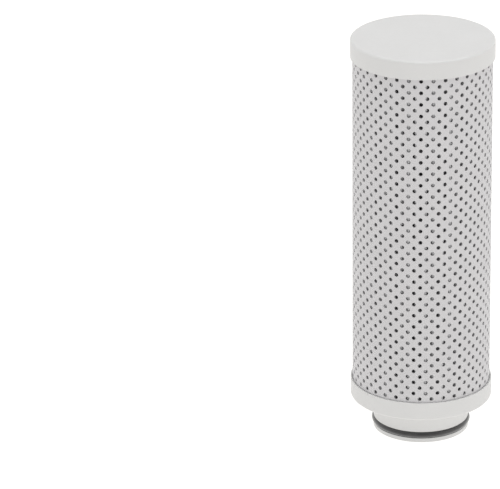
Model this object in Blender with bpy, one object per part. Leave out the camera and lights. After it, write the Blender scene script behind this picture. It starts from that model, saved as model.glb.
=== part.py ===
"""Replaceable pleated water filter cartridge, standing on its spigot.

One closed end cap, one open end cap with a sealed spigot, a perforated outer sleeve and a
pleated five-layer pack bonded between the caps. +Z runs from the spigot to the closed end,
and the origin is the centre of the spigot's end face. Metres.
"""

import math

import bmesh
import bpy
from mathutils import Vector

MM = 0.001

# Overall sizes
TOTAL_HEIGHT = 210.0 * MM
SLEEVE_RADIUS = 35.0 * MM
SLEEVE_WALL = 0.6 * MM

# Closed end cap
CLOSED_CAP_HEIGHT = 9.5 * MM
CLOSED_SKIRT_GAP = 0.55 * MM
CLOSED_SKIRT_WALL = 0.65 * MM
CLOSED_EDGE_ROUND = 1.2 * MM

# Open end cap and its spigot
OPEN_CAP_HEIGHT = 9.6 * MM
OPEN_SKIRT_GAP = 0.25 * MM
OPEN_SKIRT_WALL = 0.75 * MM
OPEN_EDGE_ROUND = 1.2 * MM
SPIGOT_LENGTH = 17.4 * MM
SPIGOT_RADIUS = 24.3 * MM
SPIGOT_FILLET = 3.0 * MM
SPIGOT_CHAMFER = 0.3 * MM
SPIGOT_WALL = 3.7 * MM
COLLAR_HEIGHT = 6.9 * MM
COLLAR_WALL = 0.7 * MM
PLATE_THICKNESS = 2.4 * MM

# O-ring and its groove
O_RING_SECTION = 3.0 * MM
O_RING_PROUD = 0.85 * MM
O_RING_HEIGHT = 3.95 * MM
GROOVE_SIDE_GAP = 0.25 * MM
GROOVE_FLOOR_GAP = 0.2 * MM

# Pleated pack: its folds, and the thickness of each layer from the inside out
PLEATS = 50
SEAM_ANGLE = math.radians(93.1)
PACK_COLLAR_GAP = 0.7 * MM
INNER_FOLD_GAP = 0.20 * MM
OUTER_FOLD_GAP = 0.74 * MM
LAYER_GAP = 0.03 * MM
MESH_THICKNESS = 0.14 * MM
FLEECE_THICKNESS = 0.08 * MM
MEDIUM_THICKNESS = 0.20 * MM
CLIP_WALL = 0.25 * MM
CLIP_DEPTH = 4.0 * MM
CLIP_GAP = 0.08 * MM

# Potting and the gap left between bonded faces
POTTING_THICKNESS = 3.6 * MM
BOND_GAP = 0.3 * MM

TURN_STEPS = 72
RING_STEPS = 12
ROUND_STEPS = 3
# Steps round all the folds of one side together, shared out over the pleats
PACK_FOLD_STEPS = 150
FOLD_STEPS = max(1, PACK_FOLD_STEPS // PLEATS)
MERGE_DISTANCE = 0.001 * MM
SHARP_ANGLE = math.radians(35)

# Radii that follow from the sizes above
SLEEVE_INNER_RADIUS = SLEEVE_RADIUS - SLEEVE_WALL
CLOSED_SKIRT_INNER = SLEEVE_RADIUS + CLOSED_SKIRT_GAP
CLOSED_CAP_RADIUS = CLOSED_SKIRT_INNER + CLOSED_SKIRT_WALL
OPEN_SKIRT_INNER = SLEEVE_RADIUS + OPEN_SKIRT_GAP
OPEN_CAP_RADIUS = OPEN_SKIRT_INNER + OPEN_SKIRT_WALL
BORE_RADIUS = SPIGOT_RADIUS - SPIGOT_WALL
COLLAR_RADIUS = BORE_RADIUS + COLLAR_WALL
O_RING_RADIUS = SPIGOT_RADIUS + O_RING_PROUD - O_RING_SECTION / 2
GROOVE_FLOOR = O_RING_RADIUS - O_RING_SECTION / 2 - GROOVE_FLOOR_GAP
GROOVE_HALF_WIDTH = O_RING_SECTION / 2 + GROOVE_SIDE_GAP
POTTING_INNER = COLLAR_RADIUS + BOND_GAP
POTTING_OUTER = SLEEVE_INNER_RADIUS - BOND_GAP
PACK_INNER_RADIUS = COLLAR_RADIUS + PACK_COLLAR_GAP
PACK_OUTER_RADIUS = SLEEVE_INNER_RADIUS - BOND_GAP

# Heights that follow from the sizes above
OPEN_FLOOR = SPIGOT_LENGTH + PLATE_THICKNESS
CLOSED_FLOOR = TOTAL_HEIGHT - PLATE_THICKNESS
OPEN_POTTING = OPEN_FLOOR + BOND_GAP
CLOSED_POTTING = CLOSED_FLOOR - BOND_GAP - POTTING_THICKNESS
PACK_BOTTOM = OPEN_POTTING + POTTING_THICKNESS + BOND_GAP
PACK_TOP = CLOSED_POTTING - BOND_GAP
SLEEVE_BOTTOM = OPEN_FLOOR + BOND_GAP
SLEEVE_TOP = CLOSED_FLOOR - BOND_GAP

PACK_THICKNESS = 2 * MESH_THICKNESS + 2 * FLEECE_THICKNESS + MEDIUM_THICKNESS + 4 * LAYER_GAP


def clear_scene():
    """Remove every object that is already in the scene."""
    for item in list(bpy.data.objects):
        bpy.data.objects.remove(item, do_unlink=True)


def make_material(name, colour, roughness, metallic=0.0):
    """Make a plain Principled BSDF material."""
    material = bpy.data.materials.new(name)
    material.use_nodes = True
    shader = material.node_tree.nodes["Principled BSDF"]
    shader.inputs["Base Color"].default_value = (*colour, 1.0)
    shader.inputs["Roughness"].default_value = roughness
    shader.inputs["Metallic"].default_value = metallic
    material.diffuse_color = (*colour, 1.0)
    return material


def add_object(name, bm, material, height, smooth):
    """Turn a bmesh into a named object, parented to the cartridge's empty."""
    bmesh.ops.recalc_face_normals(bm, faces=bm.faces)
    mesh = bpy.data.meshes.new(name)
    bm.to_mesh(mesh)
    bm.free()
    mesh.materials.append(material)
    if smooth:
        mesh.shade_smooth()
        mesh.set_sharp_from_angle(angle=SHARP_ANGLE)
    item = bpy.data.objects.new(name, mesh)
    item.location.z = height
    item.parent = bpy.data.objects["cartridge"]
    bpy.context.scene.collection.objects.link(item)
    return item


def arc(centre, radius, start, end, steps=ROUND_STEPS):
    """Points of a round stretch in a profile, with both ends. Angles in degrees."""
    points = []
    for step in range(steps + 1):
        angle = math.radians(start + (end - start) * step / steps)
        points.append((centre[0] + radius * math.cos(angle), centre[1] + radius * math.sin(angle)))
    return points


def turned(name, profile, material, height, closed=True):
    """Spin a profile of (radius, height) points round the Z axis.

    A closed profile makes a ring. An open one starts and ends on the axis and makes a disc.
    """
    bm = bmesh.new()
    corners = [bm.verts.new((radius, 0.0, level)) for radius, level in profile]
    for first, second in zip(corners, corners[1:]):
        bm.edges.new((first, second))
    if closed:
        bm.edges.new((corners[-1], corners[0]))
    bmesh.ops.spin(
        bm,
        geom=bm.verts[:] + bm.edges[:],
        axis=(0.0, 0.0, 1.0),
        cent=(0.0, 0.0, 0.0),
        angle=math.tau,
        steps=TURN_STEPS,
    )
    bmesh.ops.remove_doubles(bm, verts=bm.verts, dist=MERGE_DISTANCE)
    return add_object(name, bm, material, height, smooth=True)


def ring(name, inner, outer, thickness, material, height):
    """A plain ring of rectangular section."""
    profile = [(inner, 0.0), (outer, 0.0), (outer, thickness), (inner, thickness)]
    return turned(name, profile, material, height)


def make_closed_end_cap(material):
    """Solid disc with a skirt round the sleeve and a low dam that holds the potting."""
    top = CLOSED_CAP_HEIGHT
    floor = top - PLATE_THICKNESS
    round_centre = (CLOSED_CAP_RADIUS - CLOSED_EDGE_ROUND, top - CLOSED_EDGE_ROUND)
    dam_foot = floor - POTTING_THICKNESS
    profile = [(0.0, floor), (BORE_RADIUS, floor), (BORE_RADIUS, dam_foot), (COLLAR_RADIUS, dam_foot)]
    profile += [(COLLAR_RADIUS, floor), (CLOSED_SKIRT_INNER, floor), (CLOSED_SKIRT_INNER, 0.0)]
    profile += [(CLOSED_CAP_RADIUS, 0.0)]
    profile += arc(round_centre, CLOSED_EDGE_ROUND, 0, 90)
    profile += [(0.0, top)]
    turned("closed_end_cap", profile, material, TOTAL_HEIGHT - CLOSED_CAP_HEIGHT, closed=False)


def make_open_end_cap(material):
    """Flanged spigot with an O-ring groove, and a trough for the sleeve, pack and potting."""
    shoulder = SPIGOT_LENGTH
    rim = shoulder + OPEN_CAP_HEIGHT
    collar_top = OPEN_FLOOR + COLLAR_HEIGHT
    groove_low = O_RING_HEIGHT - GROOVE_HALF_WIDTH
    groove_high = O_RING_HEIGHT + GROOVE_HALF_WIDTH
    fillet_centre = (SPIGOT_RADIUS + SPIGOT_FILLET, shoulder - SPIGOT_FILLET)
    round_centre = (OPEN_CAP_RADIUS - OPEN_EDGE_ROUND, shoulder + OPEN_EDGE_ROUND)
    profile = [(BORE_RADIUS, collar_top), (BORE_RADIUS, SPIGOT_CHAMFER)]
    profile += [(BORE_RADIUS + SPIGOT_CHAMFER, 0.0), (SPIGOT_RADIUS - SPIGOT_CHAMFER, 0.0)]
    profile += [(SPIGOT_RADIUS, SPIGOT_CHAMFER)]
    profile += [(SPIGOT_RADIUS, groove_low), (GROOVE_FLOOR, groove_low)]
    profile += [(GROOVE_FLOOR, groove_high), (SPIGOT_RADIUS, groove_high)]
    profile += arc(fillet_centre, SPIGOT_FILLET, 180, 90)
    profile += arc(round_centre, OPEN_EDGE_ROUND, -90, 0)
    profile += [(OPEN_CAP_RADIUS, rim), (OPEN_SKIRT_INNER, rim), (OPEN_SKIRT_INNER, OPEN_FLOOR)]
    profile += [(COLLAR_RADIUS, OPEN_FLOOR), (COLLAR_RADIUS, collar_top)]
    turned("open_end_cap", profile, material, 0.0)


def make_o_ring(material):
    """Round-section seal in the spigot's groove."""
    section = arc((O_RING_RADIUS, 0.0), O_RING_SECTION / 2, 0, 360, RING_STEPS)[:-1]
    turned("spigot_o_ring", section, material, O_RING_HEIGHT)


def polar(angle, radius, sideways):
    """A point at a radius along a fold's own direction, moved sideways from it."""
    out = Vector((math.cos(angle), math.sin(angle)))
    side = Vector((-out.y, out.x))
    return out * radius + side * sideways


def fold(angle, centre, side, start, end):
    """Midline round one fold of radius `side`, centred at a radius along the fold's own direction."""
    points = []
    for step in range(FOLD_STEPS + 1):
        turn = start + (end - start) * step / FOLD_STEPS
        points.append(polar(angle, centre + side * math.cos(turn), side * math.sin(turn)))
    return points


def pleat_path():
    """Midline of the pleated pack, from one end leg at the seam round to the other.

    The straight legs touch each rounded fold. The end legs run into the seam clip.
    """
    pitch = math.tau / PLEATS
    half = PACK_THICKNESS / 2
    outer_side = half + OUTER_FOLD_GAP / 2
    inner_side = half + INNER_FOLD_GAP / 2
    outer_centre = PACK_OUTER_RADIUS - half - outer_side
    inner_centre = PACK_INNER_RADIUS + half + inner_side
    leg = polar(pitch / 2, inner_centre, 0.0) - polar(0.0, outer_centre, 0.0)
    turn = math.atan2(leg.y, leg.x) - math.acos((outer_side + inner_side) / leg.length)
    inner_turn = turn - pitch / 2
    leg_end = PACK_OUTER_RADIUS - CLIP_WALL - CLIP_GAP
    leg_bend = PACK_OUTER_RADIUS - CLIP_DEPTH
    path = [polar(SEAM_ANGLE, leg_end, inner_side), polar(SEAM_ANGLE, leg_bend, inner_side)]
    for number in range(PLEATS):
        inner_angle = SEAM_ANGLE + (number + 0.5) * pitch
        path += fold(inner_angle, inner_centre, inner_side, math.pi + inner_turn, math.pi - inner_turn)
        if number < PLEATS - 1:
            outer_angle = SEAM_ANGLE + (number + 1) * pitch
            path += fold(outer_angle, outer_centre, outer_side, -turn, turn)
    path += [polar(SEAM_ANGLE, leg_bend, -inner_side), polar(SEAM_ANGLE, leg_end, -inner_side)]
    return path


def offset_path(path, distance):
    """Move a path sideways, outwards from the axis for a positive distance, with mitred corners."""
    directions = [(after - before).normalized() for before, after in zip(path, path[1:])]
    normals = [Vector((direction.y, -direction.x)) for direction in directions]
    moved = [path[0] + normals[0] * distance]
    for corner, before, after in zip(path[1:-1], normals, normals[1:]):
        moved.append(corner + (before + after) * distance / (1.0 + before.dot(after)))
    moved.append(path[-1] + normals[-1] * distance)
    return moved


def make_pleated_layer(name, inner_offset, thickness, material):
    """One layer of the pack: a folded strip between two parallel paths."""
    path = pleat_path()
    length = PACK_TOP - PACK_BOTTOM
    rails = []
    for offset in (inner_offset, inner_offset + thickness):
        for level in (0.0, length):
            rails.append([(point.x, point.y, level) for point in offset_path(path, offset)])
    bm = bmesh.new()
    low_in, high_in, low_out, high_out = [[bm.verts.new(spot) for spot in rail] for rail in rails]
    loop = [low_in, high_in, high_out, low_out]
    for first, second in zip(loop, loop[1:] + loop[:1]):
        for index in range(len(path) - 1):
            bm.faces.new((first[index], second[index], second[index + 1], first[index + 1]))
    for end in (0, -1):
        bm.faces.new([rail[end] for rail in loop])
    add_object(name, bm, material, PACK_BOTTOM, smooth=False)


def make_seam_clip(material):
    """Channel crimped over the two end legs of the pack."""
    inside = PACK_THICKNESS + INNER_FOLD_GAP / 2 + CLIP_GAP
    outside = inside + CLIP_WALL
    mouth = PACK_OUTER_RADIUS - CLIP_DEPTH + CLIP_GAP
    crown = PACK_OUTER_RADIUS
    outline = [(mouth, -outside), (crown, -outside), (crown, outside), (mouth, outside)]
    outline += [(mouth, inside), (crown - CLIP_WALL, inside)]
    outline += [(crown - CLIP_WALL, -inside), (mouth, -inside)]
    bm = bmesh.new()
    corners = [bm.verts.new((*polar(SEAM_ANGLE, radius, side), 0.0)) for radius, side in outline]
    face = bm.faces.new(corners)
    grown = bmesh.ops.extrude_face_region(bm, geom=[face])
    raised = [part for part in grown["geom"] if isinstance(part, bmesh.types.BMVert)]
    bmesh.ops.translate(bm, verts=raised, vec=(0.0, 0.0, PACK_TOP - PACK_BOTTOM))
    add_object("pleat_seam_clip", bm, material, PACK_BOTTOM, smooth=False)


def make_perforated_sleeve(material):
    """Outer tube that stands in both caps and holds the pack against the flow."""
    length = SLEEVE_TOP - SLEEVE_BOTTOM
    ring("perforated_sleeve", SLEEVE_INNER_RADIUS, SLEEVE_RADIUS, length, material, SLEEVE_BOTTOM)


def make_pottings(material):
    """A ring of resin at each end, which bonds the pack into its cap."""
    for name, height in (("open_end_potting", OPEN_POTTING), ("closed_end_potting", CLOSED_POTTING)):
        ring(name, POTTING_INNER, POTTING_OUTER, POTTING_THICKNESS, material, height)


def make_pleated_pack(mesh_dark, mesh_pale, fleece, medium, steel):
    """The five layers, from the upstream mesh out to the downstream mesh, and their seam clip."""
    layers = [
        ("upstream_support_mesh", MESH_THICKNESS, mesh_dark),
        ("upstream_fleece", FLEECE_THICKNESS, fleece),
        ("filter_medium", MEDIUM_THICKNESS, medium),
        ("downstream_fleece", FLEECE_THICKNESS, fleece),
        ("downstream_support_mesh", MESH_THICKNESS, mesh_pale),
    ]
    offset = -PACK_THICKNESS / 2
    for name, thickness, material in layers:
        make_pleated_layer(name, offset, thickness, material)
        offset += thickness + LAYER_GAP
    make_seam_clip(steel)


def main():
    clear_scene()
    base = bpy.data.objects.new("cartridge", None)
    bpy.context.scene.collection.objects.link(base)

    cap_plastic = make_material("cap_plastic", (0.68, 0.67, 0.65), 0.42)
    sleeve_plastic = make_material("sleeve_plastic", (0.64, 0.64, 0.66), 0.5)
    seal_rubber = make_material("seal_rubber", (0.05, 0.05, 0.055), 0.4)
    mesh_dark = make_material("upstream_mesh", (0.11, 0.11, 0.105), 0.5)
    mesh_pale = make_material("downstream_mesh", (0.42, 0.42, 0.43), 0.6)
    fleece = make_material("fleece", (0.6, 0.6, 0.58), 0.9)
    medium = make_material("glass_fibre_medium", (0.72, 0.71, 0.66), 0.95)
    steel = make_material("clip_steel", (0.55, 0.55, 0.56), 0.35, metallic=1.0)
    potting = make_material("potting_resin", (0.5, 0.48, 0.42), 0.35)

    make_closed_end_cap(cap_plastic)
    make_open_end_cap(cap_plastic)
    make_o_ring(seal_rubber)
    make_perforated_sleeve(sleeve_plastic)
    make_pleated_pack(mesh_dark, mesh_pale, fleece, medium, steel)
    make_pottings(potting)


main()
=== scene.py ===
"""Pleated water filter cartridge: the finished look of every piece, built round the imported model."""

import math
import random

import bmesh
import bpy
from bpy.props import FloatProperty, FloatVectorProperty, IntProperty, PointerProperty
from mathutils import Matrix, Vector


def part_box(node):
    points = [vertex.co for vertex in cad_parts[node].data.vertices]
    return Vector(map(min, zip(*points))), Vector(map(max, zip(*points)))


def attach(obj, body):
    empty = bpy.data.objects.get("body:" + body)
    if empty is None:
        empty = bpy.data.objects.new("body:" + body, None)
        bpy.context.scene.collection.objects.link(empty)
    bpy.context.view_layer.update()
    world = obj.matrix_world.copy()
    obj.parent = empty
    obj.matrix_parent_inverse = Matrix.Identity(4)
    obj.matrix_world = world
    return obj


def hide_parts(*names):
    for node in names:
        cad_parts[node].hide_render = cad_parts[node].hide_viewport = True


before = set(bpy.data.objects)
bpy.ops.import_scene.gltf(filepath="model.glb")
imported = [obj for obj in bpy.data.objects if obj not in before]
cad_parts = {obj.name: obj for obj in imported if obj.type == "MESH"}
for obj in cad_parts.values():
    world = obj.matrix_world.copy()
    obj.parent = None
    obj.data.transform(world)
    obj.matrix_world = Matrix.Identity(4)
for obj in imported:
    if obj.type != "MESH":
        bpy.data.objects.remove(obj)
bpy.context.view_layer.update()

bl_info = {
    "name": "Pleated Filter Cartridge",
    "version": (1, 0, 0),
    "blender": (4, 5, 0),
    "location": "3D View > Sidebar > Cartridge",
    "description": "Builds a pleated water filter cartridge with end caps, sleeve, seal and pack",
    "category": "Add Mesh",
}

BODY = "root"
STRIP_MAP = "strip"
MERGE_DISTANCE = 1e-6
SHARP_ANGLE = math.radians(35)

# Steps round the axis, a small corner, the spigot's end, the clip's bends, a cap's edge and the root fillet
TURN_STEPS = 144
CORNER_STEPS = 3
LEAD_STEPS = 4
CLIP_STEPS = 5
EDGE_STEPS = 8
ROOT_STEPS = 10
# Degrees from point to point round the O-ring's section
RING_STEP = 12

# Colours and weaves of the pieces that have no colour setting of their own
FLEECE_COLOUR = (0.6, 0.6, 0.58)
GLASS_FIBRE_COLOUR = (0.72, 0.71, 0.66)
STEEL_COLOUR = (0.56, 0.56, 0.57)
RESIN_COLOUR = (0.5, 0.47, 0.4)
DARK_WEAVE_PITCH = 0.0004
PALE_WEAVE_PITCH = 0.00035

# Where the sky changes, as the height of its direction: 0 is the horizon and 1 is straight up
HORIZON_FADE = (0.12, 0.2)
WALL_FADE = (0.25, 0.8)
LAMP_RISE = (0.77, 0.83)
LAMP_FALL = (0.9, 0.96)

# The two lamps: where each stands and how wide it is. Both face the middle of the cartridge
LIT_POINT = (0.0, 0.0, 0.1)
TOP_LIGHT = ((0.0, 0.0, 1.7), 0.8)
SIDE_LIGHT = ((1.5, -0.9, 0.7), 1.2)
FLOOR_GLOW_COLOUR = (1.0, 0.99, 0.97, 1.0)


# ---------------------------------------------------------------- sizes and colours


class CapSettings(bpy.types.PropertyGroup):
    """Walls, edges and colour of the two moulded end caps."""

    plate: FloatProperty(
        name="Plate thickness", description="Thickness of each cap's flat plate",
        default=0.0024, unit="LENGTH"
    )
    closed_wall: FloatProperty(
        name="Closed skirt wall", description="Wall of the closed cap's skirt",
        default=0.00065, unit="LENGTH"
    )
    closed_round: FloatProperty(
        name="Closed edge round", description="Radius of the closed cap's top edge",
        default=0.0012, unit="LENGTH"
    )
    open_wall: FloatProperty(
        name="Open skirt wall", description="Wall of the open cap's skirt", default=0.00079, unit="LENGTH"
    )
    open_round: FloatProperty(
        name="Shoulder edge round", description="Radius of the open cap's shoulder edge",
        default=0.0012, unit="LENGTH"
    )
    rim_round: FloatProperty(
        name="Rim round", description="Small radius on rims and collars", default=0.00015, unit="LENGTH"
    )
    shoulder: FloatProperty(
        name="Spigot length", description="Height of the shoulder over the spigot's end",
        default=0.0174, unit="LENGTH"
    )
    spigot_radius: FloatProperty(
        name="Spigot radius", description="Outer radius of the spigot", default=0.0243, unit="LENGTH"
    )
    spigot_fillet: FloatProperty(
        name="Root fillet", description="Fillet between spigot and shoulder", default=0.003, unit="LENGTH"
    )
    bore_radius: FloatProperty(
        name="Bore radius", description="Radius of the straight bore", default=0.0206, unit="LENGTH"
    )
    collar_wall: FloatProperty(
        name="Collar wall", description="Wall of the collar inside the pleats",
        default=0.0007, unit="LENGTH"
    )
    collar_height: FloatProperty(
        name="Collar height", description="Height of the collar over the plate",
        default=0.0069, unit="LENGTH"
    )
    groove_side_gap: FloatProperty(
        name="Groove side gap", description="Gap beside the O-ring in its groove",
        default=0.00025, unit="LENGTH"
    )
    groove_floor_gap: FloatProperty(
        name="Groove floor gap", description="Gap under the O-ring in its groove",
        default=0.0002, unit="LENGTH"
    )
    colour: FloatVectorProperty(
        name="Cap colour", description="Moulded cap plastic",
        default=(0.69, 0.687, 0.68), subtype="COLOR", min=0, max=1
    )


class SleeveSettings(bpy.types.PropertyGroup):
    """The sleeve's wall, its staggered holes and its colour."""

    wall: FloatProperty(name="Sleeve wall", description="Wall of the sleeve", default=0.0006, unit="LENGTH")
    hole_radius: FloatProperty(
        name="Hole radius", description="Radius of each round hole", default=0.00103, unit="LENGTH"
    )
    columns: IntProperty(
        name="Hole columns", description="Columns of holes round the sleeve", default=72, min=8
    )
    rows: IntProperty(name="Hole rows", description="Holes in each even column", default=29, min=2)
    row_pitch: FloatProperty(
        name="Row pitch", description="Height from hole to hole in a column",
        default=0.006087, unit="LENGTH"
    )
    first_row: FloatProperty(
        name="First row", description="Height of the lowest even row", default=0.02895, unit="LENGTH"
    )
    first_column: FloatProperty(
        name="First column", description="Angle of the first column",
        default=math.radians(-91.1), subtype="ANGLE"
    )
    colour: FloatVectorProperty(
        name="Sleeve colour", description="Sleeve plastic",
        default=(0.622, 0.613, 0.622), subtype="COLOR", min=0, max=1
    )


class SealSettings(bpy.types.PropertyGroup):
    """The O-ring's parting line and colour."""

    flash: FloatProperty(
        name="Parting line", description="Height of the mould line round the O-ring",
        default=0.00004, unit="LENGTH"
    )
    colour: FloatVectorProperty(
        name="Seal colour", description="O-ring rubber",
        default=(0.025, 0.024, 0.025), subtype="COLOR", min=0, max=1
    )


class PackSettings(bpy.types.PropertyGroup):
    """The pleated pack: folds, layer thicknesses, unevenness and colours."""

    pleats: IntProperty(name="Pleats", description="Number of pleats", default=50, min=10)
    seam: FloatProperty(
        name="Seam angle", description="Angle of the pack's seam",
        default=math.radians(93.1), subtype="ANGLE"
    )
    collar_gap: FloatProperty(
        name="Collar gap", description="Gap between collar and inner folds", default=0.0007, unit="LENGTH"
    )
    bond_gap: FloatProperty(
        name="Sleeve gap", description="Gap between outer folds and sleeve", default=0.0003, unit="LENGTH"
    )
    inner_gap: FloatProperty(
        name="Inner fold gap", description="Space inside each inner fold", default=0.0002, unit="LENGTH"
    )
    outer_gap: FloatProperty(
        name="Outer fold gap", description="Space inside each outer fold", default=0.00074, unit="LENGTH"
    )
    layer_gap: FloatProperty(
        name="Layer gap", description="Space between layers", default=0.00003, unit="LENGTH"
    )
    mesh: FloatProperty(
        name="Mesh", description="Thickness of each support mesh", default=0.00014, unit="LENGTH"
    )
    fleece: FloatProperty(
        name="Fleece", description="Thickness of each fleece", default=0.00008, unit="LENGTH"
    )
    medium: FloatProperty(
        name="Medium", description="Thickness of the filter medium", default=0.0002, unit="LENGTH"
    )
    clip_wall: FloatProperty(
        name="Clip wall", description="Wall of the seam clip", default=0.00025, unit="LENGTH"
    )
    clip_depth: FloatProperty(
        name="Clip depth", description="Depth of the seam clip", default=0.004, unit="LENGTH"
    )
    clip_gap: FloatProperty(
        name="Clip gap", description="Gap inside the seam clip", default=0.00008, unit="LENGTH"
    )
    inner_wander: FloatProperty(
        name="Inner wander", description="Unevenness of the inner folds",
        default=math.radians(0.7), subtype="ANGLE"
    )
    outer_wander: FloatProperty(
        name="Outer wander", description="Unevenness of the outer folds",
        default=math.radians(0.25), subtype="ANGLE"
    )
    lean: FloatProperty(
        name="Lean", description="Turn of the pleats from end to end",
        default=math.radians(-1.4), subtype="ANGLE"
    )
    sink: FloatProperty(
        name="Fold sink", description="How far a fold may fall short of its radius",
        default=0.0003, unit="LENGTH"
    )
    seed: IntProperty(name="Seed", description="Seed of the unevenness", default=11)
    dark: FloatVectorProperty(
        name="Upstream mesh", description="Inner mesh",
        default=(0.16, 0.16, 0.155), subtype="COLOR", min=0, max=1
    )
    pale: FloatVectorProperty(
        name="Downstream mesh", description="Outer mesh",
        default=(0.78, 0.78, 0.79), subtype="COLOR", min=0, max=1
    )


class StageSettings(bpy.types.PropertyGroup):
    """Camera, floor and lights."""

    distance: FloatProperty(
        name="Camera distance", description="Camera to the origin", default=2.17103, unit="LENGTH"
    )
    elevation: FloatProperty(
        name="Camera elevation", description="Camera over the floor",
        default=math.radians(24.5886), subtype="ANGLE"
    )
    aim_side: FloatProperty(
        name="Aim sideways", description="Where the camera aims, along X", default=-0.0870, unit="LENGTH"
    )
    aim_height: FloatProperty(
        name="Aim height", description="Where the camera aims, along Z", default=0.09855, unit="LENGTH"
    )
    roll: FloatProperty(
        name="Camera roll", description="Camera roll", default=math.radians(0.641), subtype="ANGLE"
    )
    lens: FloatProperty(name="Lens", description="Focal length in millimetres", default=302.85)
    floor_size: FloatProperty(
        name="Floor size", description="Side of the floor", default=16.0, unit="LENGTH"
    )
    horizon: FloatProperty(name="Horizon", description="Extra light right at the horizon", default=0.3)
    sky_low: FloatProperty(name="Low sky", description="Light from the walls", default=0.74)
    sky_high: FloatProperty(name="High sky", description="Light from straight above", default=0.1)
    sky_ring: FloatProperty(
        name="Sky ring", description="Light from the ring of lamps high up", default=1.5
    )
    top_power: FloatProperty(
        name="Top light", description="Power of the light overhead", default=10.4, unit="POWER"
    )
    side_power: FloatProperty(
        name="Side light", description="Power of the light at the right", default=1.8, unit="POWER"
    )
    floor_glow: FloatProperty(
        name="Floor glow", description="Light that comes through the floor", default=1.0
    )
    floor_colour: FloatVectorProperty(
        name="Floor colour", description="Pale floor",
        default=(0.12, 0.1195, 0.118), subtype="COLOR", min=0, max=1
    )


# ---------------------------------------------------------------- heights and radii from the frame


def span(node):
    """Lowest and highest level of a node."""
    low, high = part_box(node)
    return low.z, high.z


def reach(node):
    """Outer radius of a round node."""
    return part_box(node)[1].x


def sleeve_inside(context):
    return reach("perforated_sleeve") - context.scene.cartridge_sleeve.wall


def collar_radius(context):
    caps = context.scene.cartridge_caps
    return caps.bore_radius + caps.collar_wall


# ---------------------------------------------------------------- mesh tools


def show_piece(name, bm, material, node):
    """Turn a bmesh into a piece that rides on the cartridge and stands for its node."""
    bmesh.ops.recalc_face_normals(bm, faces=bm.faces)
    mesh = bpy.data.meshes.new(name)
    bm.to_mesh(mesh)
    bm.free()
    mesh.shade_smooth()
    mesh.set_sharp_from_angle(angle=SHARP_ANGLE)
    return place_piece(name, mesh, material, node)


def place_piece(name, mesh, material, node):
    """Link a finished mesh, give it its material and hide the node that it replaces."""
    mesh.materials.append(material)
    piece = bpy.data.objects.new(name, mesh)
    bpy.context.scene.collection.objects.link(piece)
    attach(piece, BODY)
    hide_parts(node)
    return piece


def polar(centre, radius, degrees):
    """The profile point at a distance and an angle from a centre."""
    angle = math.radians(degrees)
    return centre[0] + radius * math.cos(angle), centre[1] + radius * math.sin(angle)


def arc(centre, radius, start, end, steps):
    """Round stretch of a profile, with both ends. Angles in degrees."""
    return [polar(centre, radius, start + (end - start) * step / steps) for step in range(steps + 1)]


def corner(tip, radius, start, end, steps=CORNER_STEPS):
    """Small round on a square corner of a profile, from one face's direction to the other's."""
    turn = [math.radians(start), math.radians(end)]
    inward = Vector((-sum(math.cos(a) for a in turn), -sum(math.sin(a) for a in turn)))
    centre = (tip[0] + inward.x * radius, tip[1] + inward.y * radius)
    return arc(centre, radius, start, end, steps)


def turned(name, profile, material, node, closed=True):
    """Spin a (radius, height) profile about Z and keep its flat faces flat in the shading."""
    bm = bmesh.new()
    ring = [bm.verts.new((radius, 0.0, level)) for radius, level in profile]
    for first, second in zip(ring, ring[1:]):
        bm.edges.new((first, second))
    if closed:
        bm.edges.new((ring[-1], ring[0]))
    bmesh.ops.spin(
        bm,
        geom=bm.verts[:] + bm.edges[:],
        axis=(0.0, 0.0, 1.0),
        cent=(0.0, 0.0, 0.0),
        angle=math.tau,
        steps=TURN_STEPS,
    )
    bmesh.ops.remove_doubles(bm, verts=bm.verts, dist=MERGE_DISTANCE)
    piece = show_piece(name, bm, material, node)
    flatten = piece.modifiers.new("Flat faces", "WEIGHTED_NORMAL")
    flatten.keep_sharp = True
    return piece


# ---------------------------------------------------------------- material tools


def blank_material(name, roughness, metallic=0.0):
    """A material with one Principled shader. Returns the material, its tree and the shader."""
    material = bpy.data.materials.new(name)
    material.use_nodes = True
    tree = material.node_tree
    shader = tree.nodes["Principled BSDF"]
    shader.inputs["Roughness"].default_value = roughness
    shader.inputs["Metallic"].default_value = metallic
    return material, tree, shader


def put(tree, kind, inputs=None, **options):
    """Add a node, set its options, and fill its inputs with values or links."""
    made = tree.nodes.new(kind)
    for option, value in options.items():
        setattr(made, option, value)
    for key, value in (inputs or {}).items():
        if isinstance(value, bpy.types.NodeSocket):
            tree.links.new(value, made.inputs[key])
        else:
            made.inputs[key].default_value = value
    return made


def noise(tree, place, scale, detail=3.0, roughness=0.5):
    made = put(
        tree,
        "ShaderNodeTexNoise",
        {"Vector": place, "Scale": scale, "Detail": detail, "Roughness": roughness},
    )
    return made.outputs[0]


def math_node(tree, operation, first, second=0.0):
    return put(tree, "ShaderNodeMath", {0: first, 1: second}, operation=operation).outputs[0]


def spread(tree, value, low, high, start=0.3, end=0.7):
    """Map a noise value to a range."""
    made = put(
        tree,
        "ShaderNodeMapRange",
        {"Value": value, "From Min": start, "From Max": end, "To Min": low, "To Max": high},
    )
    return made.outputs[0]


def tones(tree, value, colour, dark, light, start=0.3, end=0.7):
    """A colour that drifts between a darker and a lighter tone of itself."""
    made = put(tree, "ShaderNodeValToRGB", {"Fac": value})
    first, last = made.color_ramp.elements
    first.position = start
    last.position = end
    first.color = (*[part * dark for part in colour], 1.0)
    last.color = (*[part * light for part in colour], 1.0)
    return made.outputs[0]


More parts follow.
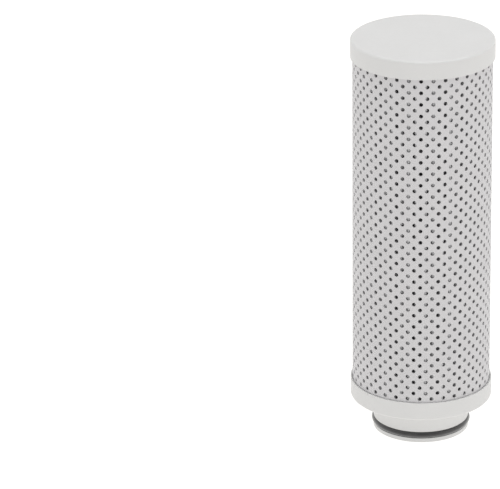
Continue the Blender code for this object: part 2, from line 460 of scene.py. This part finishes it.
def bump(tree, shader, height, strength, distance, under=None):
    """Bump on the shader's normal. Returns the bump's output, so that another can go on top."""
    inputs = {"Height": height, "Strength": strength, "Distance": distance}
    if under is not None:
        inputs["Normal"] = under
    made = put(tree, "ShaderNodeBump", inputs)
    tree.links.new(made.outputs["Normal"], shader.inputs["Normal"])
    return made.outputs["Normal"]


def moulded_plastic(name, colour, roughness, drift, grain):
    """Matt moulded plastic: slow drift of tone, fine grain, and roughness that varies with handling."""
    material, tree, shader = blank_material(name, roughness)
    shader.inputs["IOR"].default_value = 1.49
    place = put(tree, "ShaderNodeTexCoord").outputs["Object"]
    clouds = noise(tree, place, 60.0, 4.0)
    fine = noise(tree, place, 2600.0, 2.0)
    scuffs = noise(tree, place, 420.0, 6.0, 0.65)
    mixed = math_node(tree, "MULTIPLY_ADD", fine, 0.25)
    tree.links.new(clouds, mixed.node.inputs[2])
    tree.links.new(
        tones(tree, mixed, colour, 1.0 - drift, 1.0 + drift, 0.4, 0.85), shader.inputs["Base Color"]
    )
    tree.links.new(spread(tree, scuffs, roughness - 0.07, roughness + 0.09), shader.inputs["Roughness"])
    waves = bump(tree, shader, clouds, 0.25, 0.00006)
    bump(tree, shader, fine, grain, 0.00002, waves)
    return material


def seal_rubber(colour):
    """Satin black rubber with a slight bloom."""
    material, tree, shader = blank_material("seal_rubber", 0.25)
    place = put(tree, "ShaderNodeTexCoord").outputs["Object"]
    bloom = noise(tree, place, 350.0, 5.0, 0.6)
    grain = noise(tree, place, 4000.0, 2.0)
    tree.links.new(tones(tree, bloom, colour, 0.85, 1.35), shader.inputs["Base Color"])
    tree.links.new(spread(tree, bloom, 0.3, 0.45), shader.inputs["Roughness"])
    shader.inputs["Sheen Weight"].default_value = 0.8
    shader.inputs["Sheen Roughness"].default_value = 0.5
    bump(tree, shader, grain, 0.2, 0.00002)
    return material


def woven_mesh(name, colour, roughness, pitch):
    """Plain weave laid along the folded strip: threads over and under each other, with painted shade in the
    openings between threads.
    """
    material, tree, shader = blank_material(name, roughness)
    strip = put(tree, "ShaderNodeUVMap", uv_map=STRIP_MAP).outputs[0]
    parts = put(tree, "ShaderNodeSeparateXYZ", {0: strip})
    turns = math.pi / pitch
    across = math_node(tree, "MULTIPLY", parts.outputs[0], turns)
    along = math_node(tree, "MULTIPLY", parts.outputs[1], turns)
    warp = math_node(tree, "ABSOLUTE", math_node(tree, "SINE", across))
    weft = math_node(tree, "ABSOLUTE", math_node(tree, "SINE", along))
    over = math_node(
        tree,
        "MULTIPLY",
        math_node(tree, "SINE", math_node(tree, "MULTIPLY", across, 0.5)),
        math_node(tree, "SINE", math_node(tree, "MULTIPLY", along, 0.5)),
    )
    crown = math_node(tree, "MAXIMUM", warp, weft)
    height = math_node(tree, "MULTIPLY_ADD", over, 0.3)
    tree.links.new(crown, height.node.inputs[2])
    dirt = noise(tree, put(tree, "ShaderNodeTexCoord").outputs["Object"], 300.0, 4.0)
    # Painted shade: the colour darkens into the openings between threads and is lightest on the thread
    # tops; the dirt noise adds a random tone on top
    shade = math_node(tree, "MULTIPLY", crown, spread(tree, dirt, 0.8, 1.0))
    tree.links.new(tones(tree, shade, colour, 0.55, 1.12, 0.35, 1.0), shader.inputs["Base Color"])
    tree.links.new(spread(tree, dirt, roughness - 0.08, roughness + 0.1), shader.inputs["Roughness"])
    bump(tree, shader, height, 0.6, 0.00006)
    return material


def fibrous(name, colour, scale):
    """Pressed fibres: soft, rough and slightly uneven."""
    material, tree, shader = blank_material(name, 0.9)
    place = put(tree, "ShaderNodeTexCoord").outputs["Object"]
    stretched = put(tree, "ShaderNodeMapping", {"Vector": place, "Scale": (1.0, 1.0, 0.25)}).outputs[0]
    fibres = noise(tree, stretched, scale, 6.0, 0.7)
    tree.links.new(tones(tree, fibres, colour, 0.85, 1.08), shader.inputs["Base Color"])
    bump(tree, shader, fibres, 0.5, 0.00005)
    return material


def brushed_strip():
    """Rolled steel strip with fine lines along it."""
    material, tree, shader = blank_material("clip_steel", 0.32, 1.0)
    place = put(tree, "ShaderNodeTexCoord").outputs["Object"]
    lines = put(tree, "ShaderNodeMapping", {"Vector": place, "Scale": (1.0, 1.0, 0.02)}).outputs[0]
    brushed = noise(tree, lines, 3500.0, 3.0)
    tree.links.new(tones(tree, brushed, STEEL_COLOUR, 0.85, 1.1), shader.inputs["Base Color"])
    tree.links.new(spread(tree, brushed, 0.25, 0.45), shader.inputs["Roughness"])
    bump(tree, shader, brushed, 0.2, 0.00001)
    return material


def cast_resin():
    """Cured potting resin with faint clouding and small bubbles."""
    material, tree, shader = blank_material("potting_resin", 0.25)
    place = put(tree, "ShaderNodeTexCoord").outputs["Object"]
    clouds = noise(tree, place, 220.0, 3.0)
    bubbles = put(tree, "ShaderNodeTexVoronoi", {"Vector": place, "Scale": 900.0}).outputs["Distance"]
    tree.links.new(tones(tree, clouds, RESIN_COLOUR, 0.9, 1.1), shader.inputs["Base Color"])
    tree.links.new(spread(tree, clouds, 0.18, 0.34), shader.inputs["Roughness"])
    bump(tree, shader, bubbles, 0.15, 0.00004)
    return material


def shared_cap_plastic(context):
    """Both caps are moulded in one plastic."""
    found = bpy.data.materials.get("cap_plastic")
    return found or moulded_plastic("cap_plastic", context.scene.cartridge_caps.colour, 0.42, 0.012, 0.12)


def shared_resin():
    return bpy.data.materials.get("potting_resin") or cast_resin()


# ---------------------------------------------------------------- end caps and seal

# Round on the spigot's end, as a multiple of the rim's round
SPIGOT_LEAD = 1.5


class CARTRIDGE_OT_closed_cap(bpy.types.Operator):
    """Build the closed end cap"""

    bl_idname = "cartridge.closed_cap"
    bl_label = "Closed End Cap"

    def execute(self, context):
        caps = context.scene.cartridge_caps
        foot, top = span("closed_end_cap")
        outside = reach("closed_end_cap")
        inside = outside - caps.closed_wall
        floor = top - caps.plate
        dam_foot = span("closed_end_potting")[0]
        collar = collar_radius(context)
        rim = caps.rim_round
        edge = (outside - caps.closed_round, top - caps.closed_round)
        profile = [(0.0, floor), (caps.bore_radius, floor)]
        profile += corner((caps.bore_radius, dam_foot), rim, 180, 270)
        profile += corner((collar, dam_foot), rim, 270, 360)
        profile += [(collar, floor), (inside, floor)]
        profile += corner((inside, foot), rim, 180, 270)
        profile += corner((outside, foot), rim, 270, 360)
        profile += arc(edge, caps.closed_round, 0, 90, EDGE_STEPS)
        profile += [(0.0, top)]
        turned("closed_cap", profile, shared_cap_plastic(context), "closed_end_cap", closed=False)
        return {"FINISHED"}


class CARTRIDGE_OT_open_cap(bpy.types.Operator):
    """Build the open end cap with its spigot and groove"""

    bl_idname = "cartridge.open_cap"
    bl_label = "Open End Cap"

    def execute(self, context):
        caps = context.scene.cartridge_caps
        foot, rim_top = span("open_end_cap")
        outside = reach("open_end_cap")
        inside = outside - caps.open_wall
        shoulder = foot + caps.shoulder
        floor = shoulder + caps.plate
        collar = collar_radius(context)
        collar_top = floor + caps.collar_height
        ring_low, ring_high = span("spigot_o_ring")
        groove_low = ring_low - caps.groove_side_gap
        groove_high = ring_high + caps.groove_side_gap
        groove_floor = reach("spigot_o_ring") - (ring_high - ring_low) - caps.groove_floor_gap
        rim = caps.rim_round
        lead = SPIGOT_LEAD * rim
        spigot = caps.spigot_radius
        root = (spigot + caps.spigot_fillet, shoulder - caps.spigot_fillet)
        edge = (outside - caps.open_round, shoulder + caps.open_round)
        profile = corner((caps.bore_radius, collar_top), rim, 90, 180)
        profile += corner((caps.bore_radius, foot), lead, 180, 270, LEAD_STEPS)
        profile += corner((spigot, foot), lead, 270, 360, LEAD_STEPS)
        profile += corner((spigot, groove_low), rim, 0, 90)
        profile += [(groove_floor, groove_low), (groove_floor, groove_high)]
        profile += corner((spigot, groove_high), rim, -90, 0)
        profile += arc(root, caps.spigot_fillet, 180, 90, ROOT_STEPS)
        profile += arc(edge, caps.open_round, -90, 0, EDGE_STEPS)
        profile += corner((outside, rim_top), rim, 0, 90)
        profile += corner((inside, rim_top), rim, 90, 180)
        profile += [(inside, floor), (collar, floor)]
        profile += corner((collar, collar_top), rim, 0, 90)
        turned("open_cap", profile, shared_cap_plastic(context), "open_end_cap")
        return {"FINISHED"}


class CARTRIDGE_OT_o_ring(bpy.types.Operator):
    """Build the spigot's O-ring with its fine mould line"""

    bl_idname = "cartridge.o_ring"
    bl_label = "Spigot O-Ring"

    def execute(self, context):
        seal = context.scene.cartridge_seal
        low, high = span("spigot_o_ring")
        half = (high - low) / 2
        centre = (reach("spigot_o_ring") - half, low + half)
        profile = []
        for angle in range(0, 360, RING_STEP):
            on_mould_line = angle in (0, 180)
            profile.append(polar(centre, half if on_mould_line else half - seal.flash, angle))
        turned("o_ring", profile, seal_rubber(seal.colour), "spigot_o_ring")
        return {"FINISHED"}


# ---------------------------------------------------------------- perforated sleeve

# Eight points round a hole's cell, in half columns and half rows from the hole, and the hole's own steps
CELL_EDGE = [(1, 0), (1, 1), (0, 1), (-1, 1), (-1, 0), (-1, -1), (0, -1), (1, -1)]
HOLE_STEPS = 2 * len(CELL_EDGE)


class SleeveSkin:
    """Collects the sleeve's vertices and faces, with a radial or wall normal for each face corner."""

    def __init__(self, settings, outside, low, high):
        self.settings = settings
        self.radii = (outside, outside - settings.wall)
        self.levels = {"low": low, "high": high}
        self.points = []
        self.faces = []
        self.normals = []
        self.known = {}

    def point(self, side, angle, level):
        self.points.append((self.radii[side] * math.cos(angle), self.radii[side] * math.sin(angle), level))
        return len(self.points) - 1

    def lattice(self, side, column, row):
        """A shared point on the half-column and half-row lattice, or on an end ring."""
        key = (side, column % (2 * self.settings.columns), row)
        if key not in self.known:
            angle = self.settings.first_column + key[1] * math.pi / self.settings.columns
            level = self.levels.get(row)
            if level is None:
                level = self.settings.first_row + row * self.settings.row_pitch / 2
            self.known[key] = self.point(side, angle, level)
        return self.known[key]

    def skin_face(self, side, corners):
        """A face of the outer (0) or inner (1) skin, with normals straight out from or towards the axis."""
        if side:
            corners = corners[::-1]
        facing = -1.0 if side else 1.0
        self.faces.append(corners)
        for index in corners:
            x, y, _ = self.points[index]
            self.normals.append(Vector((x, y, 0.0)).normalized() * facing)

    def flat_face(self, corners, normals):
        self.faces.append(corners)
        self.normals.extend(normals)

    def hole(self, column, row):
        """One cell of skin round a hole on both sides, and the hole's wall."""
        settings = self.settings
        angle = settings.first_column + 2 * column * math.pi / settings.columns
        level = settings.first_row + row * settings.row_pitch / 2
        sweep = settings.hole_radius / self.radii[0]
        rims = []
        for side in (0, 1):
            rim = []
            for step in range(HOLE_STEPS):
                turn = math.tau * step / HOLE_STEPS
                rim.append(
                    self.point(
                        side, angle + sweep * math.cos(turn), level + settings.hole_radius * math.sin(turn)
                    )
                )
            edge = [self.lattice(side, 2 * column + across, row + up) for across, up in CELL_EDGE]
            for index in range(len(edge)):
                near, middle, far = (rim[(2 * index + ahead) % HOLE_STEPS] for ahead in range(3))
                here, after = edge[index], edge[(index + 1) % len(edge)]
                self.skin_face(side, [near, here, middle])
                self.skin_face(side, [middle, here, after])
                self.skin_face(side, [middle, after, far])
            rims.append(rim)
        self.hole_wall(rims, angle)

    def hole_wall(self, rims, angle):
        across = Vector((-math.sin(angle), math.cos(angle), 0.0))
        inward = []
        for step in range(HOLE_STEPS):
            turn = math.tau * step / HOLE_STEPS
            inward.append(-across * math.cos(turn) - Vector((0.0, 0.0, math.sin(turn))))
        for step in range(HOLE_STEPS):
            after = (step + 1) % HOLE_STEPS
            corners = [rims[0][step], rims[0][after], rims[1][after], rims[1][step]]
            self.flat_face(corners, [inward[step], inward[after], inward[after], inward[step]])

    def end_band(self, column, end, last, outermost):
        """Plain skin between a column's last hole cell and the sleeve's end, in two halves."""
        step = 1 if end == "high" else -1
        sides = list(range(outermost, last - step, -step))
        for side in (0, 1):
            for shift in (-1, 1):
                edge_column = 2 * column + shift
                corners = [self.lattice(side, 2 * column, end), self.lattice(side, edge_column, end)]
                corners += [self.lattice(side, edge_column, row) for row in sides]
                corners.append(self.lattice(side, 2 * column, last))
                if shift * step > 0:
                    corners = corners[::-1]
                self.skin_face(side, corners)

    def end_ring(self, end):
        """The narrow face that closes one end of the sleeve."""
        up = Vector((0.0, 0.0, 1.0 if end == "high" else -1.0))
        for column in range(2 * self.settings.columns):
            corners = [
                self.lattice(0, column, end),
                self.lattice(0, column + 1, end),
                self.lattice(1, column + 1, end),
                self.lattice(1, column, end),
            ]
            if end == "low":
                corners = corners[::-1]
            self.flat_face(corners, [up] * 4)

    def build(self):
        """Holes in every column, odd columns half a row lower and one hole longer, then the ends."""
        rows = self.settings.rows
        lowest, highest = -2, 2 * rows
        for column in range(self.settings.columns):
            odd = column % 2
            first, last = -odd, 2 * rows - 2 + odd
            for row in range(first, last + 1, 2):
                self.hole(column, row)
            self.end_band(column, "low", first - 1, lowest)
            self.end_band(column, "high", last + 1, highest)
        self.end_ring("low")
        self.end_ring("high")
        mesh = bpy.data.meshes.new("sleeve")
        mesh.from_pydata(self.points, [], self.faces)
        mesh.shade_smooth()
        mesh.normals_split_custom_set(self.normals)
        return mesh


class CARTRIDGE_OT_sleeve(bpy.types.Operator):
    """Build the outer sleeve with every hole"""

    bl_idname = "cartridge.sleeve"
    bl_label = "Perforated Sleeve"

    def execute(self, context):
        settings = context.scene.cartridge_sleeve
        low, high = span("perforated_sleeve")
        mesh = SleeveSkin(settings, reach("perforated_sleeve"), low, high).build()
        material = moulded_plastic("sleeve_plastic", settings.colour, 0.5, 0.02, 0.2)
        place_piece("sleeve", mesh, material, "perforated_sleeve")
        return {"FINISHED"}


# ---------------------------------------------------------------- pleated pack

FOLD_STEPS = 6
PACK_ROWS = 7
# Share of each fold's unevenness that stays the same over its height, and how fast the rest sways
STEADY_ANGLE = 0.75
STEADY_SINK = 0.7
ANGLE_SWAY = 1.5
SINK_SWAY = 2


def directions(angle):
    """Outward and sideways unit vectors at an angle round the axis."""
    out = Vector((math.cos(angle), math.sin(angle)))
    return out, Vector((-out.y, out.x))


def leg_normal(outer, inner, reach_sum, side):
    """Normal of the straight leg that touches an outer and an inner fold."""
    gap = inner - outer
    share = reach_sum / gap.length
    along = gap.normalized()
    across = Vector((-along.y, along.x))
    if across.dot(side) < 0.0:
        across = -across
    return along * share + across * math.sqrt(1.0 - share * share)


def fold_arc(centre, radius, angle, start, end, outer):
    """Points and normals round one fold, from the incoming leg's normal to the outgoing one's."""
    out, side = directions(angle)
    turns = [math.atan2(normal.dot(side), normal.dot(out)) for normal in (start, end)]
    stretch = []
    for step in range(FOLD_STEPS + 1):
        turn = turns[0] + (turns[1] - turns[0]) * step / FOLD_STEPS
        normal = out * math.cos(turn) + side * math.sin(turn)
        stretch.append((centre + normal * (radius if outer else -radius), normal))
    return stretch


class PackShape:
    """Midline of the pleated pack at any height, with slightly uneven folds."""

    def __init__(self, context):
        self.pack = context.scene.cartridge_pack
        pack = self.pack
        self.thickness = 2 * pack.mesh + 2 * pack.fleece + pack.medium + 4 * pack.layer_gap
        self.outside = sleeve_inside(context) - pack.bond_gap
        self.inside = collar_radius(context) + pack.collar_gap
        self.low, self.high = span("filter_medium")
        half = self.thickness / 2
        self.outer_radius = half + pack.outer_gap / 2
        self.inner_radius = half + pack.inner_gap / 2
        self.leg_end = self.outside - pack.clip_wall - pack.clip_gap
        self.leg_bend = self.outside - pack.clip_depth
        chance = random.Random(pack.seed)
        self.uneven = [[chance.uniform(-1, 1) for _ in range(6)] for _ in range(2 * pack.pleats)]

    def fold_place(self, number, share):
        """Angle and centre radius of a fold at a share of the height. Folds count in half pleats."""
        pack = self.pack
        outer = number % 2 == 0
        first, second, third, sway, phase, depth = self.uneven[number % len(self.uneven)]
        wander = pack.outer_wander if outer else pack.inner_wander
        swing = math.sin(math.pi * (ANGLE_SWAY * share + phase))
        drift = STEADY_ANGLE * first + (1 - STEADY_ANGLE) * sway * swing
        angle = pack.seam + number * math.pi / pack.pleats + wander * drift + pack.lean * (share - 0.5)
        dip = math.sin(math.pi * (SINK_SWAY * share + second + third))
        sink = pack.sink * abs(depth) * (STEADY_SINK + (1 - STEADY_SINK) * dip)
        if outer:
            return angle, self.outside - self.thickness / 2 - self.outer_radius - sink
        return angle, self.inside + self.thickness / 2 + self.inner_radius + sink

    def path(self, share):
        """Points and normals of the midline, from one leg end at the seam round to the other."""
        pack = self.pack
        out, side = directions(pack.seam)
        reach_sum = self.outer_radius + self.inner_radius
        places = []
        for number in range(1, 2 * pack.pleats):
            angle, radius = self.fold_place(number, share)
            places.append((angle, directions(angle)[0] * radius, number % 2 == 0))
        seam_side = side * self.inner_radius
        bends = [out * self.leg_bend + seam_side, out * self.leg_bend - seam_side]
        normals = [leg_normal(bends[0], places[0][1], self.inner_radius, side)]
        for (_, here, outer), (angle, there, _) in zip(places, places[1:]):
            across = directions(angle)[1] * (1.0 if outer else -1.0)
            pair = (here, there) if outer else (there, here)
            normals.append(leg_normal(*pair, reach_sum, across))
        normals.append(leg_normal(bends[1], places[-1][1], self.inner_radius, -side))
        path = [(out * self.leg_end + seam_side, side), (bends[0], (side + normals[0]).normalized())]
        for (angle, centre, outer), start, end in zip(places, normals, normals[1:]):
            radius = self.outer_radius if outer else self.inner_radius
            path += fold_arc(centre, radius, angle, start, end, outer)
        path += [(bends[1], (normals[-1] - side).normalized()), (out * self.leg_end - seam_side, -side)]
        return path

    def layer(self, name, offset, thickness, material, node):
        """One folded strip, with its length and height in metres as its map."""
        bm = bmesh.new()
        rows = []
        for row in range(PACK_ROWS):
            share = row / (PACK_ROWS - 1)
            level = self.low + (self.high - self.low) * share
            path = self.path(share)
            rows.append(
                [
                    [bm.verts.new((*(point + normal * distance), level)) for point, normal in path]
                    for distance in (offset, offset + thickness)
                ]
            )
        count = len(rows[0][0])
        for below, above in zip(rows, rows[1:]):
            for index in range(count - 1):
                for low, high in zip(below, above):
                    bm.faces.new((low[index], low[index + 1], high[index + 1], high[index]))
            for index in (0, count - 1):
                bm.faces.new((below[0][index], below[1][index], above[1][index], above[0][index]))
        for rails in (rows[0], rows[-1]):
            for index in range(count - 1):
                bm.faces.new((rails[0][index], rails[0][index + 1], rails[1][index + 1], rails[1][index]))
        self.lay_map(bm, rows)
        return show_piece(name, bm, material, node)

    def lay_map(self, bm, rows):
        lengths = [0.0]
        for (before, _), (after, _) in zip(self.path(0.5), self.path(0.5)[1:]):
            lengths.append(lengths[-1] + (after - before).length)
        run = {}
        for rails in rows:
            for rail in rails:
                run.update(zip(rail, lengths))
        layer = bm.loops.layers.uv.new(STRIP_MAP)
        for face in bm.faces:
            for loop in face.loops:
                loop[layer].uv = (run[loop.vert], loop.vert.co.z)


class CARTRIDGE_OT_pack(bpy.types.Operator):
    """Build the five pleated layers"""

    bl_idname = "cartridge.pack"
    bl_label = "Pleated Pack"

    def execute(self, context):
        pack = context.scene.cartridge_pack
        shape = PackShape(context)
        fleece = fibrous("fleece", FLEECE_COLOUR, 1800.0)
        dark = woven_mesh("upstream_mesh", pack.dark, 0.5, DARK_WEAVE_PITCH)
        fibre = fibrous("glass_fibre", GLASS_FIBRE_COLOUR, 2600.0)
        pale = woven_mesh("downstream_mesh", pack.pale, 0.6, PALE_WEAVE_PITCH)
        layers = [
            ("upstream_mesh", pack.mesh, dark, "upstream_support_mesh"),
            ("upstream_pad", pack.fleece, fleece, "upstream_fleece"),
            ("medium", pack.medium, fibre, "filter_medium"),
            ("downstream_pad", pack.fleece, fleece, "downstream_fleece"),
            ("downstream_mesh", pack.mesh, pale, "downstream_support_mesh"),
        ]
        offset = -shape.thickness / 2
        for name, thickness, material, node in layers:
            shape.layer(name, offset, thickness, material, node)
            offset += thickness + pack.layer_gap
        return {"FINISHED"}


class CARTRIDGE_OT_seam_clip(bpy.types.Operator):
    """Build the channel that holds the pack's two ends together"""

    bl_idname = "cartridge.seam_clip"
    bl_label = "Seam Clip"

    def execute(self, context):
        pack = context.scene.cartridge_pack
        shape = PackShape(context)
        out, side = directions(pack.seam)
        inside = shape.thickness + pack.inner_gap / 2 + pack.clip_gap
        outside = inside + pack.clip_wall
        back = shape.outside - pack.clip_wall
        mouth = shape.leg_bend + pack.clip_gap
        bend = pack.clip_wall + pack.clip_gap
        outline = [(mouth, outside)]
        outline += corner((shape.outside, outside), bend, 90, 0, CLIP_STEPS)
        outline += corner((shape.outside, -outside), bend, 0, -90, CLIP_STEPS)
        outline += [(mouth, -outside), (mouth, -inside)]
        outline += corner((back, -inside), pack.clip_gap, -90, 0, CLIP_STEPS)
        outline += corner((back, inside), pack.clip_gap, 0, 90, CLIP_STEPS)
        outline += [(mouth, inside)]
        bm = bmesh.new()
        rails = []
        for level in (shape.low, shape.high):
            rails.append([bm.verts.new((*(out * run + side * over), level)) for run, over in outline])
        count = len(outline)
        for index in range(count):
            after = (index + 1) % count
            bm.faces.new((rails[0][index], rails[0][after], rails[1][after], rails[1][index]))
        for rail in rails:
            half = count // 2
            for index in range(half - 1):
                opposite = count - 1 - index
                bm.faces.new((rail[index], rail[index + 1], rail[opposite - 1], rail[opposite]))
        show_piece("seam_clip", bm, brushed_strip(), "pleat_seam_clip")
        return {"FINISHED"}


# The resin's free face creeps up its walls: how far, as a share of its thickness, and in how many steps
RESIN_CREEP = 1 / 12
RESIN_STEPS = 8


class CARTRIDGE_OT_potting(bpy.types.Operator):
    """Build the two rings of potting resin"""

    bl_idname = "cartridge.potting"
    bl_label = "Potting Rings"

    def execute(self, context):
        pack = context.scene.cartridge_pack
        inside = collar_radius(context) + pack.bond_gap
        for name, node, free_up in (
            ("open_end_resin", "open_end_potting", True),
            ("closed_end_resin", "closed_end_potting", False),
        ):
            low, high = span(node)
            outside = reach(node)
            creep = (high - low) * RESIN_CREEP
            bonded, free = (low, high) if free_up else (high, low)
            dip = free - creep if free_up else free + creep
            profile = [(inside, bonded), (outside, bonded), (outside, free)]
            for step in range(RESIN_STEPS + 1):
                share = step / RESIN_STEPS
                level = dip + (free - dip) * (2 * share - 1) ** 4
                profile.append((outside - creep - (outside - inside - 2 * creep) * share, level))
            profile.append((inside, free))
            turned(name, profile, shared_resin(), node)
        return {"FINISHED"}


# ---------------------------------------------------------------- stage


def make_floor(stage):
    """Wide pale floor of translucent sheet that is also lit from below, with a very slight unevenness."""
    bpy.ops.mesh.primitive_plane_add(size=stage.floor_size)
    floor = bpy.context.object
    floor.name = "floor"
    material, tree, shader = blank_material("floor", 0.7)
    place = put(tree, "ShaderNodeTexCoord").outputs["Object"]
    mottle = noise(tree, place, 3.0, 2.0)
    tree.links.new(tones(tree, mottle, stage.floor_colour, 0.995, 1.005), shader.inputs["Base Color"])
    shader.inputs["Emission Color"].default_value = FLOOR_GLOW_COLOUR
    shader.inputs["Emission Strength"].default_value = stage.floor_glow
    floor.data.materials.append(material)


def make_light(name, location, size, power):
    """Soft square light that faces the cartridge."""
    data = bpy.data.lights.new(name, "AREA")
    data.size = size
    data.energy = power
    light = bpy.data.objects.new(name, data)
    light.location = location
    light.rotation_euler = (Vector(LIT_POINT) - Vector(location)).to_track_quat("-Z", "Y").to_euler()
    bpy.context.scene.collection.objects.link(light)


def make_sky(stage):
    """White walls all round that meet the floor in white and fade upwards, with a ring of lamps high up."""
    world = bpy.data.worlds.new("studio")
    world.use_nodes = True
    tree = world.node_tree
    background = tree.nodes["Background"]
    background.inputs["Color"].default_value = (1.0, 1.0, 1.0, 1.0)
    height = put(tree, "ShaderNodeSeparateXYZ", {0: put(tree, "ShaderNodeTexCoord").outputs["Generated"]})
    level = height.outputs[2]
    walls = spread(tree, level, stage.sky_low, stage.sky_high, *WALL_FADE)
    rise = spread(tree, level, 0.0, stage.sky_ring, *LAMP_RISE)
    fall = spread(tree, level, 1.0, 0.0, *LAMP_FALL)
    ring = math_node(tree, "MULTIPLY", rise, fall)
    horizon = spread(tree, level, stage.horizon, 0.0, *HORIZON_FADE)
    lamps = math_node(tree, "ADD", ring, horizon)
    tree.links.new(math_node(tree, "ADD", walls, lamps), background.inputs["Strength"])
    bpy.context.scene.world = world


def make_camera(stage):
    """Long lens from the front and above, aimed beside the cartridge."""
    data = bpy.data.cameras.new("camera")
    data.lens = stage.lens
    camera = bpy.data.objects.new("camera", data)
    height = stage.distance * math.sin(stage.elevation)
    location = Vector((0.0, -stage.distance * math.cos(stage.elevation), height))
    aim = Vector((stage.aim_side, 0.0, stage.aim_height))
    facing = (aim - location).to_track_quat("-Z", "Y").to_matrix().to_4x4()
    camera.matrix_world = Matrix.Translation(location) @ facing @ Matrix.Rotation(-stage.roll, 4, "Z")
    bpy.context.scene.collection.objects.link(camera)
    bpy.context.scene.camera = camera


class CARTRIDGE_OT_stage(bpy.types.Operator):
    """Build the floor, the lights and the camera"""

    bl_idname = "cartridge.stage"
    bl_label = "Stage"

    def execute(self, context):
        stage = context.scene.cartridge_stage
        make_floor(stage)
        make_sky(stage)
        make_light("top_light", *TOP_LIGHT, stage.top_power)
        make_light("side_light", *SIDE_LIGHT, stage.side_power)
        make_camera(stage)
        context.scene.view_settings.view_transform = "Standard"
        return {"FINISHED"}


# ---------------------------------------------------------------- panel and run

OPERATORS = [
    CARTRIDGE_OT_closed_cap,
    CARTRIDGE_OT_open_cap,
    CARTRIDGE_OT_o_ring,
    CARTRIDGE_OT_sleeve,
    CARTRIDGE_OT_pack,
    CARTRIDGE_OT_seam_clip,
    CARTRIDGE_OT_potting,
    CARTRIDGE_OT_stage,
]

SETTINGS = {
    "cartridge_caps": CapSettings,
    "cartridge_sleeve": SleeveSettings,
    "cartridge_seal": SealSettings,
    "cartridge_pack": PackSettings,
    "cartridge_stage": StageSettings,
}


class CARTRIDGE_PT_panel(bpy.types.Panel):
    """Lists the sizes and the steps that build the cartridge."""

    bl_idname = "CARTRIDGE_PT_panel"
    bl_label = "Filter Cartridge"
    bl_space_type = "VIEW_3D"
    bl_region_type = "UI"
    bl_category = "Cartridge"

    def draw(self, context):
        for step in OPERATORS:
            self.layout.operator(step.bl_idname)
        for group in SETTINGS:
            box = self.layout.box()
            settings = getattr(context.scene, group)
            for name in settings.__annotations__:
                box.prop(settings, name)


def register():
    for part in (*SETTINGS.values(), *OPERATORS, CARTRIDGE_PT_panel):
        bpy.utils.register_class(part)
    for group, kind in SETTINGS.items():
        setattr(bpy.types.Scene, group, PointerProperty(type=kind))


def unregister():
    for group in SETTINGS:
        delattr(bpy.types.Scene, group)
    for part in (CARTRIDGE_PT_panel, *reversed(OPERATORS), *reversed(SETTINGS.values())):
        bpy.utils.unregister_class(part)


def main():
    register()
    bpy.ops.cartridge.closed_cap()
    bpy.ops.cartridge.open_cap()
    bpy.ops.cartridge.o_ring()
    bpy.ops.cartridge.sleeve()
    bpy.ops.cartridge.pack()
    bpy.ops.cartridge.seam_clip()
    bpy.ops.cartridge.potting()
    bpy.ops.cartridge.stage()


if __name__ == "__main__":
    main()
